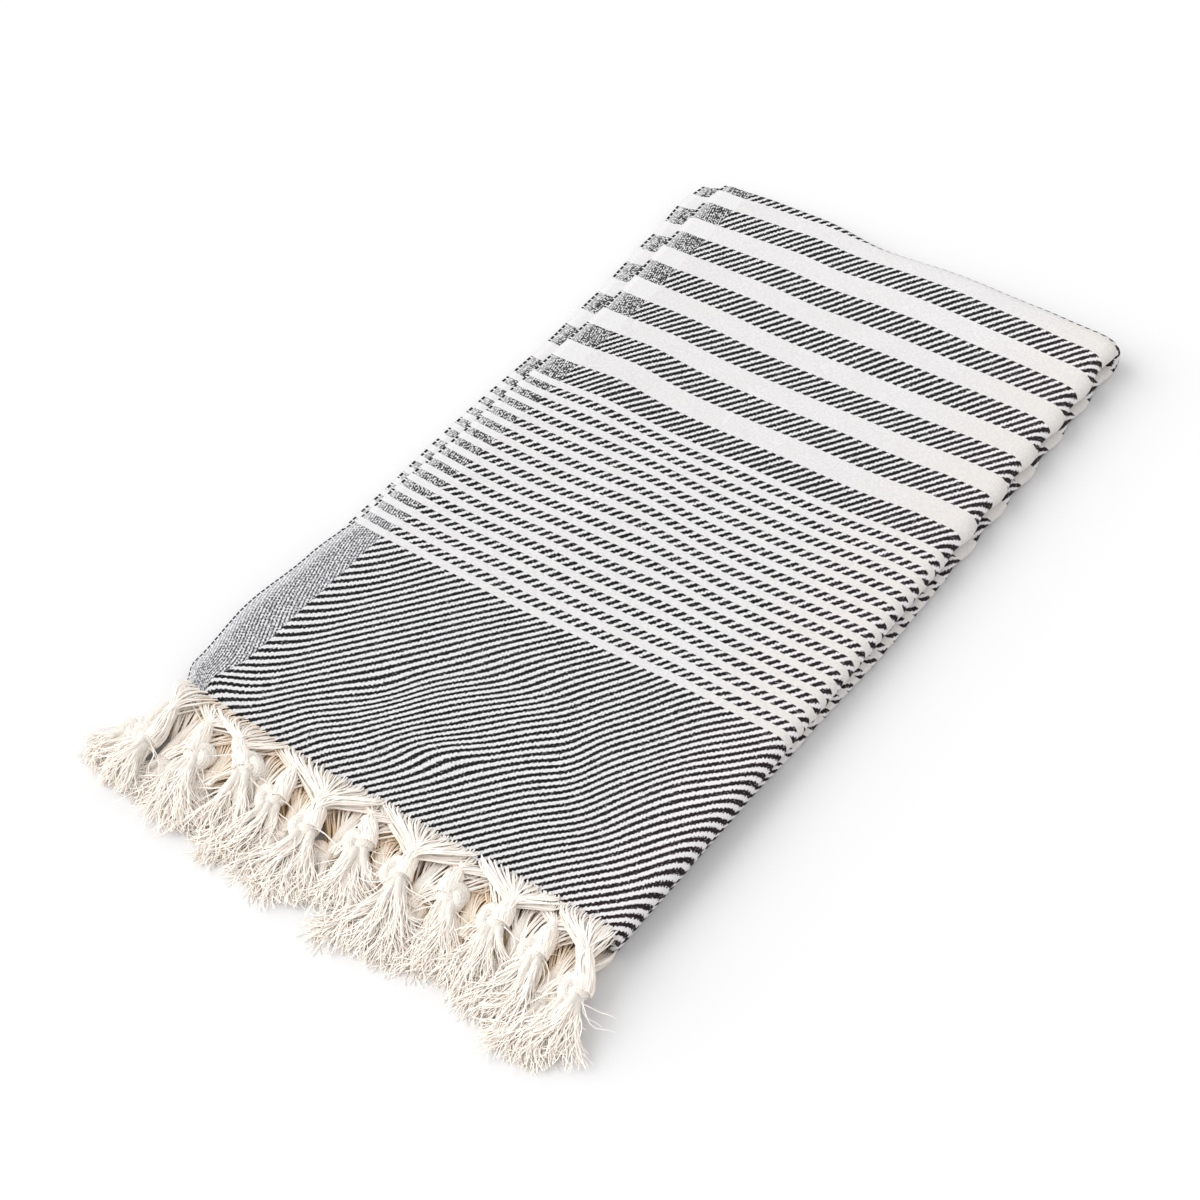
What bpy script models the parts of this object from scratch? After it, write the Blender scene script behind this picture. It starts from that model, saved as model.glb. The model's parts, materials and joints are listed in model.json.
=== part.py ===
"""Hammam towel: a striped cotton towel with knotted fringes, folded and lying flat.

The cloth is folded in half across its width, which leaves a soft roll along the right side,
and then in half along its length, which leaves a fold at the far end and lays both fringed
ends together at the near end. That makes four plies, named from the top: outer and inner ply
of the upper pair, then inner and outer ply of the lower pair.

X runs across the folded width, Y from the fringed ends to the far fold, Z up. The origin lies
under the middle of the folded cloth, on the surface that it rests on.
"""
import math
from collections import namedtuple

import bmesh
import bpy
import numpy as np
from mathutils import Matrix, Vector

MM = 0.001
QUARTER_TURN = math.pi / 2

# The folded cloth. The two plies of a pair lie a flat spacing apart at their selvedges, and part
# with a power of the distance from there up to the side roll, which bulges out by its reach.
# The two pairs part by a swell close to the far fold, which turns about a line a little inside
# the far end.
FOLDED_WIDTH = 250 * MM
FOLDED_LENGTH = 470 * MM
CLOTH_THICKNESS = 1.1 * MM
PLY_GAP = 0.6 * MM
FLAT_SPACING = CLOTH_THICKNESS + PLY_GAP
ROLL_SPACING = 8.0 * MM
ROLL_REACH = 8 * MM
SPACING_POWER = 1.3
FAR_FOLD_SWELL = 3.0 * MM
FAR_FOLD_SWELL_LENGTH = 55 * MM
FAR_FOLD_DEPTH = 8 * MM

# Mesh steps: across one ply, round the side roll, along one run, round the far fold.
PLY_STEPS = 12
ROLL_STEPS = 8
RUN_STEPS = 20
TURN_STEPS = 8

# How far each selvedge and each roll stands out past the nominal sides, at distances from the
# fringed end. Values between two rows are eased.
Station = namedtuple("Station", "along top second third bottom upper_roll lower_roll")
STATIONS = (
    Station(0 * MM, 7 * MM, 4 * MM, 4 * MM, 2 * MM, 0 * MM, 1 * MM),
    Station(15 * MM, 13.5 * MM, 8 * MM, 6 * MM, 4 * MM, 0.4 * MM, 1.5 * MM),
    Station(58 * MM, 17.5 * MM, 12 * MM, 9 * MM, 7 * MM, 1.5 * MM, 3 * MM),
    Station(100 * MM, 14 * MM, 12.5 * MM, 9 * MM, 7 * MM, 1.7 * MM, 3.6 * MM),
    Station(145 * MM, 9 * MM, 13 * MM, 9 * MM, 6 * MM, 2 * MM, 4.5 * MM),
    Station(225 * MM, 5.3 * MM, 14 * MM, 9 * MM, 6 * MM, 2.4 * MM, 4.5 * MM),
    Station(300 * MM, 2.8 * MM, 12 * MM, 8 * MM, 5 * MM, 3 * MM, 4.5 * MM),
    Station(345 * MM, 2 * MM, 13.2 * MM, 9 * MM, 5 * MM, 2.6 * MM, 4 * MM),
    Station(410 * MM, 5.5 * MM, 16.7 * MM, 10 * MM, 6 * MM, 2 * MM, 3 * MM),
    Station(442 * MM, 6.8 * MM, 19 * MM, 11 * MM, 6 * MM, 1.5 * MM, 2.2 * MM),
    Station(470 * MM, 4 * MM, 15 * MM, 9 * MM, 5 * MM, 1 * MM, 1.5 * MM),
)

# How far the two ends of the folded cloth bow out past their nominal lines, at distances from
# the nominal left side. The bow fades along the cloth over its reach.
Bow = namedtuple("Bow", "x near far")
BOWS = (
    Bow(-15 * MM, 0 * MM, -3 * MM),
    Bow(0 * MM, 0 * MM, 4 * MM),
    Bow(30 * MM, 2 * MM, 6.5 * MM),
    Bow(60 * MM, 2.5 * MM, 7 * MM),
    Bow(105 * MM, 2.5 * MM, 1.5 * MM),
    Bow(150 * MM, 2.5 * MM, 4 * MM),
    Bow(200 * MM, 2 * MM, 2 * MM),
    Bow(235 * MM, 1.5 * MM, 0 * MM),
    Bow(258 * MM, 3 * MM, -4 * MM),
)
BOW_REACH = 150 * MM

# Soft ridges that the cloth keeps from folding: middle, half lengths, turn and height. X and Y
# are measured from the nominal left side and from the fringed end.
Ridge = namedtuple("Ridge", "x y half_length half_width turn height")
RIDGES = (
    Ridge(103 * MM, 62 * MM, 46 * MM, 15 * MM, math.radians(38), 0.8 * MM),
    Ridge(173 * MM, 90 * MM, 60 * MM, 18 * MM, math.radians(28), 0.6 * MM),
    Ridge(87 * MM, 200 * MM, 70 * MM, 22 * MM, math.radians(72), 0.6 * MM),
    Ridge(155 * MM, 310 * MM, 80 * MM, 26 * MM, math.radians(60), 0.5 * MM),
)

# The knotted fringe: a tassel has six strands of gathered warp above its knot and six loose
# locks below it. Every strand grows from an inset root in one facet of the knot, widens with
# its share of the way from its neighbours, and keeps a gap beside them. The fans stop just
# short of the cloth's edge, and the outer locks of a tuft are a little shorter.
EDGE_GAP = 0.75 * MM
KNOT_RADIUS = 5.2 * MM
KNOT_RISE = 4.0 * MM
KNOT_LENGTH = 6.0 * MM
STRANDS_PER_SIDE = 6
KNOT_RINGS = 4
ROOT_TURN = math.radians(11)
ROOT_INSET = 0.9 * MM
ROOT_PITCH = 0.4 * MM
STRAND_COVER = 0.82
FAN_HEIGHT = 1.0 * MM
FAN_SHARES = (0.4, 0.75, 1.0)
FLARE = 0.55
TUFT_ROUNDING = 0.14

# Steps along a lock, as shares of its length, with its height at each.
LockStep = namedtuple("LockStep", "share height")
LOCK_STEPS = (
    LockStep(0.3, 1.5 * MM),
    LockStep(0.68, 2.3 * MM),
    LockStep(1.0, 1.5 * MM),
)

# How the tassels of each ply lie: height of the knot's middle and of the tuft's tips, how soon
# the fan rises from the cloth to the knot, and how late the tuft droops to its tips.
Level = namedtuple("Level", "knot_height tip_height fan_rise droop")
LEVELS = {
    "top": Level(11.2 * MM, 5.2 * MM, 0.7, 2.2),
    "second": Level(10.4 * MM, 5.2 * MM, 1.2, 1.8),
    "third": Level(4.0 * MM, 0.75 * MM, 0.7, 0.8),
    "bottom": Level(4.0 * MM, 0.75 * MM, 1.5, 0.8),
}

# One row for each tassel: the ply that it ends, the middle and half width of its fan of warp
# at the cloth's edge, its knot, the lean of its tuft towards +X, the tuft's length and half
# spread. X and Y are measured from the nominal left side and from the fringed end.
Tassel = namedtuple("Tassel", "ply fan_x fan_half knot_x knot_y lean length spread")
TASSELS = (
    Tassel("top", 4 * MM, 9 * MM, 5 * MM, -35 * MM, math.radians(-12), 27 * MM, 9 * MM),
    Tassel("top", 37 * MM, 19 * MM, 53 * MM, -22 * MM, math.radians(24), 38 * MM, 9.5 * MM),
    Tassel("top", 88 * MM, 25 * MM, 98 * MM, -31 * MM, math.radians(24), 34 * MM, 9 * MM),
    Tassel("top", 144 * MM, 23 * MM, 148 * MM, -27 * MM, math.radians(22), 38 * MM, 10 * MM),
    Tassel("top", 195 * MM, 19 * MM, 198 * MM, -22 * MM, math.radians(20), 38 * MM, 9 * MM),
    Tassel("top", 233 * MM, 12 * MM, 248 * MM, -30 * MM, math.radians(6), 32 * MM, 9.5 * MM),
    Tassel("second", 21 * MM, 10 * MM, 29 * MM, -29.5 * MM, math.radians(10), 36 * MM, 9 * MM),
    Tassel("second", 68 * MM, 7 * MM, 74 * MM, -28 * MM, math.radians(24), 38 * MM, 8.5 * MM),
    Tassel("second", 116 * MM, 10 * MM, 123 * MM, -24 * MM, math.radians(23), 38 * MM, 9 * MM),
    Tassel("second", 168 * MM, 10 * MM, 173 * MM, -23 * MM, math.radians(21), 40 * MM, 9.5 * MM),
    Tassel("second", 217 * MM, 10 * MM, 222 * MM, -24 * MM, math.radians(14), 38 * MM, 9 * MM),
    Tassel("third", 14 * MM, 10 * MM, 17 * MM, -37 * MM, math.radians(2), 34 * MM, 8.5 * MM),
    Tassel("third", 60 * MM, 10 * MM, 65 * MM, -38 * MM, math.radians(14), 36 * MM, 9 * MM),
    Tassel("third", 108 * MM, 10 * MM, 111 * MM, -36 * MM, math.radians(20), 36 * MM, 9.5 * MM),
    Tassel("third", 158 * MM, 10 * MM, 161 * MM, -35 * MM, math.radians(18), 36 * MM, 9 * MM),
    Tassel("third", 208 * MM, 10 * MM, 211 * MM, -36 * MM, math.radians(12), 34 * MM, 9 * MM),
    Tassel("bottom", -2 * MM, 8 * MM, -7 * MM, -33 * MM, math.radians(-12), 32 * MM, 9 * MM),
    Tassel("bottom", 38 * MM, 10 * MM, 40 * MM, -38 * MM, math.radians(8), 36 * MM, 9 * MM),
    Tassel("bottom", 84 * MM, 10 * MM, 87 * MM, -38 * MM, math.radians(18), 36 * MM, 8.5 * MM),
    Tassel("bottom", 133 * MM, 10 * MM, 136 * MM, -37 * MM, math.radians(20), 36 * MM, 9.5 * MM),
    Tassel("bottom", 184 * MM, 10 * MM, 186 * MM, -36 * MM, math.radians(15), 36 * MM, 9 * MM),
    Tassel("bottom", 232 * MM, 10 * MM, 236 * MM, -38 * MM, math.radians(6), 32 * MM, 9 * MM),
)
TOP_PLIES = ("top", "second")
OUTER_PLIES = ("top", "bottom")

# Surface colours: the stripes blended to one grey, and the undyed warp of the fringe.
COTTON_COLOUR = (0.5, 0.5, 0.5)
WARP_COLOUR = (0.88, 0.83, 0.74)
COTTON_ROUGHNESS = 0.9


def ease(value):
    """Smooth step from 0 to 1."""
    value = np.clip(value, 0.0, 1.0)
    return value * value * (3.0 - 2.0 * value)


def eased(rows, place, column, at):
    """Value of one column of a table at given places, eased between its rows."""
    marks = [getattr(row, place) for row in rows]
    values = [getattr(row, column) for row in rows]
    result = np.full_like(at, values[0])
    for low, high, start, end in zip(marks, marks[1:], values, values[1:]):
        result = result + (end - start) * ease((at - low) / (high - low))
    return result


def stand_out(column, along):
    """How far one selvedge or roll stands out at a distance from the fringed end."""
    return eased(STATIONS, "along", column, along)


def bowed(x, along):
    """Shift along Y of a point whose weft line bows out with the nearer end of the cloth."""
    across = x + FOLDED_WIDTH / 2
    near = eased(BOWS, "x", "near", across) * ease(1.0 - along / BOW_REACH)
    far = eased(BOWS, "x", "far", across) * ease(1.0 - (FOLDED_LENGTH - along) / BOW_REACH)
    return far - near


def ridge_height(x, y):
    """Sum of the soft ridges, each a bell over its own turned axes."""
    total = np.zeros_like(x)
    for ridge in RIDGES:
        dx = x + FOLDED_WIDTH / 2 - ridge.x
        dy = y + FOLDED_LENGTH / 2 - ridge.y
        lengthwise = dx * math.cos(ridge.turn) + dy * math.sin(ridge.turn)
        sideways = dy * math.cos(ridge.turn) - dx * math.sin(ridge.turn)
        reach = (lengthwise / ridge.half_length) ** 2 + (sideways / ridge.half_width) ** 2
        total = total + ridge.height * np.exp(-reach)
    return total


def ply_spacing(x, y):
    """Distance between the two plies of a pair: flat at the selvedges, full at the rolls."""
    across = np.clip((x + FOLDED_WIDTH / 2) / FOLDED_WIDTH, 0.0, 1.0)
    growth = (ROLL_SPACING - FLAT_SPACING) * across ** SPACING_POWER
    return FLAT_SPACING + growth + ridge_height(x, y)


def pair_spacing(y):
    """Distance between the two pairs' facing plies, which swells towards the far fold."""
    from_fold = (FOLDED_LENGTH / 2 - y) / FAR_FOLD_SWELL_LENGTH
    return FLAT_SPACING + FAR_FOLD_SWELL * ease(1.0 - from_fold)


def side_lines(along, outer, upper):
    """X of the selvedge and of the roll's middle, blended by how far outer and upper a ply is."""
    top_pair = stand_out("top", along) * outer + stand_out("second", along) * (1 - outer)
    low_pair = stand_out("bottom", along) * outer + stand_out("third", along) * (1 - outer)
    selvedge = -FOLDED_WIDTH / 2 - top_pair * upper - low_pair * (1 - upper)
    upper_roll = stand_out("upper_roll", along) * upper
    lower_roll = stand_out("lower_roll", along) * (1 - upper)
    return selvedge, FOLDED_WIDTH / 2 - ROLL_REACH + upper_roll + lower_roll


def cloth_point(across, roll, along, turn):
    """Points on the cloth's middle surface.

    across runs from the selvedge (0) to the side roll (1). roll is the angle round that roll,
    a quarter turn on a pair's outer ply and minus a quarter turn on its inner ply. along is
    the distance from the fringed end. turn is the angle round the far fold, a quarter turn on
    the upper pair and minus a quarter turn on the lower pair.
    """
    left, right = side_lines(along, (1 + np.sin(roll)) / 2, (1 + np.sin(turn)) / 2)
    x = left + (right - left) * across + ROLL_REACH * np.cos(roll)
    run = along - FOLDED_LENGTH / 2 + bowed(x, along)
    spacing = ply_spacing(x, run)
    between = pair_spacing(run)
    radius = (spacing + between) / 2 + spacing / 2 * np.sin(roll)
    y = run + radius * np.cos(turn)
    middle = CLOTH_THICKNESS / 2 + spacing + between / 2
    z = middle + radius * np.sin(turn)
    return x, y, z


def fold_parameters(steps_out, steps_turn):
    """Fraction and angle at each step of a run out, a half turn and the run back."""
    out = np.linspace(0.0, 1.0, steps_out + 1)
    fraction = np.concatenate([out, np.ones(steps_turn - 1), out[::-1]])
    angles = np.linspace(QUARTER_TURN, -QUARTER_TURN, steps_turn + 1)[1:-1]
    flat = np.full(steps_out + 1, QUARTER_TURN)
    return fraction, np.concatenate([flat, angles, -flat])


def principled(name, colour):
    """A plain surface colour for one kind of piece."""
    material = bpy.data.materials.new(name)
    material.use_nodes = True
    shader = material.node_tree.nodes["Principled BSDF"]
    shader.inputs["Base Color"].default_value = (*colour, 1.0)
    shader.inputs["Roughness"].default_value = COTTON_ROUGHNESS
    shader.inputs["Metallic"].default_value = 0.0
    return material


def add_object(name, mesh, material, collection):
    """Put a mesh in the scene as one named piece."""
    piece = bpy.data.objects.new(name, mesh)
    mesh.materials.append(material)
    collection.objects.link(piece)
    return piece


def build_cloth(material, collection):
    """A grid laid over the whole unfolded towel, moved onto its folds and given thickness."""
    across, roll = fold_parameters(PLY_STEPS, ROLL_STEPS)
    fraction, turn = fold_parameters(RUN_STEPS, TURN_STEPS)
    along = fraction * (FOLDED_LENGTH - FAR_FOLD_DEPTH)
    columns = len(across)
    rows = len(along)
    x, y, z = cloth_point(across[None, :], roll[None, :], along[:, None], turn[:, None])
    mesh = bpy.data.meshes.new("cloth")
    form = bmesh.new()
    bmesh.ops.create_grid(form, x_segments=columns - 1, y_segments=rows - 1, size=1.0)
    for vert in form.verts:
        column = round((vert.co.x + 1) / 2 * (columns - 1))
        row = round((vert.co.y + 1) / 2 * (rows - 1))
        vert.co = (x[row, column], y[row, column], z[row, column])
    form.to_mesh(mesh)
    form.free()
    mesh.shade_smooth()
    cloth = add_object("cloth", mesh, material, collection)
    wall = cloth.modifiers.new("thickness", "SOLIDIFY")
    wall.thickness = CLOTH_THICKNESS
    wall.offset = 0.0
    return cloth


def edge_point(ply, x):
    """Middle of a ply's fringed edge at one X."""
    roll = QUARTER_TURN if ply in OUTER_PLIES else -QUARTER_TURN
    turn = QUARTER_TURN if ply in TOP_PLIES else -QUARTER_TURN
    start = np.array(0.0)
    left, right = side_lines(start, (1 + math.sin(roll)) / 2, (1 + math.sin(turn)) / 2)
    found = cloth_point((x - left) / (right - left), np.array(roll), start, np.array(turn))
    return Vector((x, float(found[1]), float(found[2])))


def section(centre, direction, width, height):
    """Triangle across a strand: flat base below, ridge above, wound about the direction."""
    up = Vector((0, 0, 1))
    side = up.cross(direction).normalized()
    return [
        centre - side * (width / 2) - up * (height / 2),
        centre + side * (width / 2) - up * (height / 2),
        centre + up * (height / 2),
    ]


def least_twist(corners, points):
    """The section's points in the order that turns the corners least, centre upon centre."""
    shift = (sum(points, Vector()) - sum(corners, Vector())) / len(points)
    orders = [points[offset:] + points[:offset] for offset in range(len(points))]
    return min(
        orders,
        key=lambda order: sum((a + shift - b).length_squared for a, b in zip(corners, order)),
    )


def grow_strand(form, face, sections):
    """Extrude a root face through a strand's sections."""
    for points in sections:
        grown = bmesh.ops.extrude_discrete_faces(form, faces=[face])
        face = grown["faces"][0]
        verts = [loop.vert for loop in face.loops]
        for vert, point in zip(verts, least_twist([vert.co for vert in verts], points)):
            vert.co = point


def local_width(gap_at_root, gap_at_end, share):
    """Width that leaves neighbouring strands apart, whose pitch grows along them."""
    return STRAND_COVER * (gap_at_root + (gap_at_end - gap_at_root) * share)


def fan_sections(root, end, inward, pitch, rise):
    """Sections of a fan strand, from its root on the knot to an end square on the cloth's edge."""
    sections = []
    for share in FAN_SHARES:
        point = root.lerp(end, share)
        point.z = end.z + (root.z - end.z) * (1 - share) ** rise
        direction = Vector((end.x - root.x, end.y - root.y, 0)).normalized()
        width = local_width(ROOT_PITCH, pitch * direction.y, share)
        if share == 1.0:
            direction = inward
        sections.append(section(point, direction, width, FAN_HEIGHT))
    return sections


def lock_sections(root, end, side, pitch, droop):
    """Sections of a lock of the tuft, which flares sideways from its root and then droops."""
    sections = []
    sideways = side * (end - root).dot(side)
    lengthwise = end - root - sideways
    for step in LOCK_STEPS:
        flare = step.share ** FLARE
        point = root + lengthwise * step.share + sideways * flare
        point.z = end.z + (root.z - end.z) * (1 - step.share ** droop)
        point.z = max(point.z, step.height / 2)
        direction = Vector((end.x - root.x, end.y - root.y, 0)).normalized()
        width = local_width(ROOT_PITCH, pitch, flare)
        sections.append(section(point, direction, width, step.height))
    return sections


def knot_matrix(knot, axis, side):
    """Place, size and turn of a knot whose poles lie along the tassel's axis."""
    frame = Matrix((side, Vector((0, 0, 1)), axis)).transposed().to_4x4()
    size = Matrix.Diagonal((KNOT_RADIUS, KNOT_RISE, KNOT_LENGTH, 1.0))
    return Matrix.Translation(knot) @ frame @ size @ Matrix.Rotation(ROOT_TURN, 4, "Z")


def build_tassel(name, tassel, material, collection):
    """A knot, the piece's origin, with a fan of warp up to the cloth's edge and a loose tuft."""
    level = LEVELS[tassel.ply]
    knot = Vector((
        tassel.knot_x - FOLDED_WIDTH / 2,
        tassel.knot_y - FOLDED_LENGTH / 2,
        level.knot_height,
    ))
    axis = Vector((math.sin(tassel.lean), -math.cos(tassel.lean), 0))
    side = Vector((0, 0, 1)).cross(axis)
    form = bmesh.new()
    bmesh.ops.create_uvsphere(
        form,
        u_segments=STRANDS_PER_SIDE,
        v_segments=KNOT_RINGS,
        radius=1.0,
        matrix=knot_matrix(knot, axis, side),
    )
    roots = [face for face in form.faces if len(face.verts) == 3]
    bmesh.ops.inset_individual(form, faces=roots, thickness=ROOT_INSET)
    roots.sort(key=lambda face: face.calc_center_median().dot(side))
    fans = [face for face in roots if (face.calc_center_median() - knot).dot(axis) < 0]
    locks = [face for face in roots if (face.calc_center_median() - knot).dot(axis) > 0]
    places = np.linspace(-1.0, 1.0, STRANDS_PER_SIDE)
    fan_pitch = 2 * tassel.fan_half / (STRANDS_PER_SIDE - 1)
    for face, place in zip(fans, places):
        x = tassel.fan_x - FOLDED_WIDTH / 2 + tassel.fan_half * place
        edge = edge_point(tassel.ply, x + fan_pitch / 2) - edge_point(tassel.ply, x - fan_pitch / 2)
        inward = Vector((-edge.y, edge.x, 0)).normalized()
        end = edge_point(tassel.ply, x) - inward * EDGE_GAP
        end.z = max(end.z, FAN_HEIGHT / 2)
        root = face.calc_center_median()
        sections = fan_sections(root, end, inward, fan_pitch, level.fan_rise)
        grow_strand(form, face, sections)
    lock_pitch = 2 * tassel.spread / (STRANDS_PER_SIDE - 1)
    for face, place in zip(locks, places):
        reach = KNOT_LENGTH + tassel.length * (1 - TUFT_ROUNDING * place * place)
        end = knot + axis * reach + side * (tassel.spread * place)
        end.z = level.tip_height
        root = face.calc_center_median()
        sections = lock_sections(root, end, side, lock_pitch, level.droop)
        grow_strand(form, face, sections)
    bmesh.ops.translate(form, verts=form.verts, vec=-knot)
    mesh = bpy.data.meshes.new(name)
    form.to_mesh(mesh)
    form.free()
    piece = add_object(name, mesh, material, collection)
    piece.location = knot
    return piece


def main():
    """Clear the scene and build the towel's pieces."""
    for item in list(bpy.data.objects):
        bpy.data.objects.remove(item, do_unlink=True)
    collection = bpy.data.collections.new("hammam_towel")
    bpy.context.scene.collection.children.link(collection)
    cotton = principled("striped_cotton", COTTON_COLOUR)
    warp = principled("cream_warp", WARP_COLOUR)
    build_cloth(cotton, collection)
    counts = {}
    for tassel in TASSELS:
        counts[tassel.ply] = counts.get(tassel.ply, 0) + 1
        build_tassel(f"tassel_{tassel.ply}_{counts[tassel.ply]}", tassel, warp, collection)


main()
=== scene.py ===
"""Looks of a hammam towel: striped cotton cloth with a knotted fringe, folded and lying flat.

X runs across the folded width, Y from the fringed ends to the far fold, Z up. The origin lies
under the middle of the folded cloth. Lengths are metres, and tables are written in millimetres
and degrees. A pair of numbers is the least and the most of what is drawn or eased between.
"""

import json
import math
from collections import namedtuple

import bpy
import numpy as np
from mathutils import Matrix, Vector

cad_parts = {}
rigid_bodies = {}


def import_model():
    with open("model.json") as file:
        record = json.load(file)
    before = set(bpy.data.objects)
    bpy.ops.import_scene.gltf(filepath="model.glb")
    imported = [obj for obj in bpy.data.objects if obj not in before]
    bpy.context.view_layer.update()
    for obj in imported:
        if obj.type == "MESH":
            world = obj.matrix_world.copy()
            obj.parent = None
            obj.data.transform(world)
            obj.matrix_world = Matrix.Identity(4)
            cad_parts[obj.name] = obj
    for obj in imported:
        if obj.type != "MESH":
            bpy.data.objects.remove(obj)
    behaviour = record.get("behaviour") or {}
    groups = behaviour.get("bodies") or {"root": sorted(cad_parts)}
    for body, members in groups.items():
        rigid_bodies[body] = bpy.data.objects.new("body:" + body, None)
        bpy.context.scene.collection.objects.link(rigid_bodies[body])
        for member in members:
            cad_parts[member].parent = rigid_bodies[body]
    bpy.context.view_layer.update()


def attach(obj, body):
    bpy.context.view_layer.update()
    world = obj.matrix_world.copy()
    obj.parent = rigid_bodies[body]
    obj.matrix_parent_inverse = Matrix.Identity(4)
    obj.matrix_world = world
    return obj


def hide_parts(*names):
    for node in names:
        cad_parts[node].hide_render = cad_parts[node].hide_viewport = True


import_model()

MM = 0.001
QUARTER_TURN = math.pi / 2
FULL_TURN = 2 * math.pi


def table(fields, *rows):
    """Rows of named fields, from millimetres and degrees to metres and radians."""
    kind = namedtuple("Row", fields)
    turned = [name in ("turn", "lean") for name in kind._fields]

    def kept(value, angle):
        if isinstance(value, str):
            return value
        return math.radians(value) if angle else value * MM

    return [kind(*map(kept, row, turned)) for row in rows]


# The folds of the cloth, as its solid has them.
FOLDED_WIDTH = 250 * MM
FOLDED_LENGTH = 470 * MM
CLOTH_THICKNESS = 1.1 * MM
PLY_GAP = 0.6 * MM
FLAT_SPACING = CLOTH_THICKNESS + PLY_GAP
ROLL_SPACING = 8.0 * MM
ROLL_REACH = 8 * MM
SPACING_POWER = 1.3
FAR_FOLD_SWELL = 3.0 * MM
FAR_FOLD_SWELL_LENGTH = 55 * MM
FAR_FOLD_DEPTH = 8 * MM

# Steps of the cloth's grid: across one ply, round the side roll, along one run, round the far fold.
PLY_STEPS = 56
ROLL_STEPS = 16
RUN_STEPS = 132
TURN_STEPS = 16

# How far each selvedge and each roll stands out past the nominal sides, as on the solid, apart
# from the near end of the lower roll, which lies up to 4.5 mm further in, under the upper one.
STATIONS = table(
    "along top second third bottom upper_roll lower_roll",
    (0, 7, 4, 4, 2, 0, -2.5),
    (15, 13.5, 8, 6, 4, 0.4, -2.4),
    (58, 17.5, 12, 9, 7, 1.5, -1.5),
    (100, 14, 12.5, 9, 7, 1.7, -0.5),
    (145, 9, 13, 9, 6, 2, 1.5),
    (225, 5.3, 14, 9, 6, 2.4, 4.5),
    (300, 2.8, 12, 8, 5, 3, 4.5),
    (345, 2, 13.2, 9, 5, 2.6, 4),
    (410, 5.5, 16.7, 10, 6, 2, 3),
    (442, 6.8, 19, 11, 6, 1.5, 2.2),
    (470, 4, 15, 9, 5, 1, 1.5),
)

# How far the two ends bow out past their nominal lines.
BOWS = table(
    "x near far",
    (-15, 0, -3),
    (0, 0, 4),
    (30, 2, 6.5),
    (60, 2.5, 7),
    (105, 2.5, 1.5),
    (150, 2.5, 4),
    (200, 2, 2),
    (235, 1.5, 0),
    (258, 3, -4),
)
BOW_REACH = 150 * MM

# A bell is a soft hill over its own turned axes: middle, half lengths, turn and size. X is
# measured from the middle of the folded cloth, along from the fringed end.
BELL = "x along half_length half_width turn size"

# Soft ridges that part the plies, as the solid has them.
RIDGES = table(
    BELL,
    (-22, 62, 46, 15, 38, 0.8),
    (48, 90, 60, 18, 28, 0.6),
    (-38, 200, 70, 22, 72, 0.6),
    (30, 310, 80, 26, 60, 0.5),
)

# Puckers of the top ply alone.
PUCKERS = table(
    BELL,
    (-14, 40, 26, 8, 55, -0.5),
    (20, 58, 40, 9, 25, -0.4),
    (-60, 52, 30, 10, 50, 0.5),
    (52, 74, 34, 11, 40, 0.5),
    (92, 70, 30, 10, 75, -0.45),
    (-104, 64, 44, 9, 84, -0.4),
    (-60, 238, 60, 10, -44, 0.4),
    (18, 168, 60, 9, -44, -0.35),
    (-84, 300, 36, 13, 80, 0.45),
    (96, 300, 80, 10, 88, 0.35),
    (-40, 430, 34, 12, 55, -0.4),
    (24, 405, 50, 14, 70, 0.35),
)

# The weave. Whites and darks alternate in narrow stripes and then in wide ones, and the two
# ends mirror each other about the middle of the towel's length.
FLAT_LENGTH = 955.6 * MM
HALF_LENGTH = FLAT_LENGTH / 2
NARROW_START = 131.8 * MM
NARROW_PITCH = 9.96 * MM
NARROW_WHITE = 0.49
NARROW_END = 276.3 * MM
WIDE_START = 291.7 * MM
WIDE_PITCH = 32.6 * MM
WIDE_WHITE = 0.475
STRIPE_BLUR = 0.03
THREAD_UNIT = 0.001
FRAY = 1.8 * MM
FRAY_BLUR = 0.6 * MM

# The twill, and how bold, rough, round and sunk its weft is.
END_PITCH = 1.25 * MM
TWILL_ENDS = 4
TWILL_RISE = 1.4
TWILL_STEP = 0.5
TWILL_DARK = 0.255
TWILL_BLUR = 0.03
TWILL_BOLDER = 0.028
TWILL_ROUGH = 0.5
TWILL_CROWN = 3.0
TWILL_SINK = 0.8

# The plain weave of the selvedges: its slanting rows, how they are crossed, how pale the weave
# is at its outer edge, the dotted line there, and how rows, specks and dark change where the
# weft lies denser.
SELVEDGE_WIDTH = 18.5 * MM
SELVEDGE_BLUR = 0.3 * MM
HATCH_ENDS = 0.92
HATCH_PICKS = 0.33
HATCH_DARK = 0.22
HATCH_BLUR = 0.08
CROSS_PICKS = 0.9
CROSS_START = 0.72
CROSS_LIGHT = 0.75
EDGE_DARK = 0.62
EDGE_DARK_START = 3.5 * MM
EDGE_DARK_END = 6.5 * MM
EDGE_GAP = 0.7 * MM
DOTS_END = 0.8 * MM
DOTS_GROWTH = 0.6 * MM
DOTS_BLUR = 0.2 * MM
DOTS_SHARE = 0.75
DENSE_START = 118 * MM
DENSE_END = 175 * MM
ROWS_NEAR = 0.95
ROWS_FADE = 0.2
SPECKS_NEAR = 0.68
SPECKS_GROWTH = 0.25
DENSER = 0.1
OPENNESS = 0.13

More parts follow.
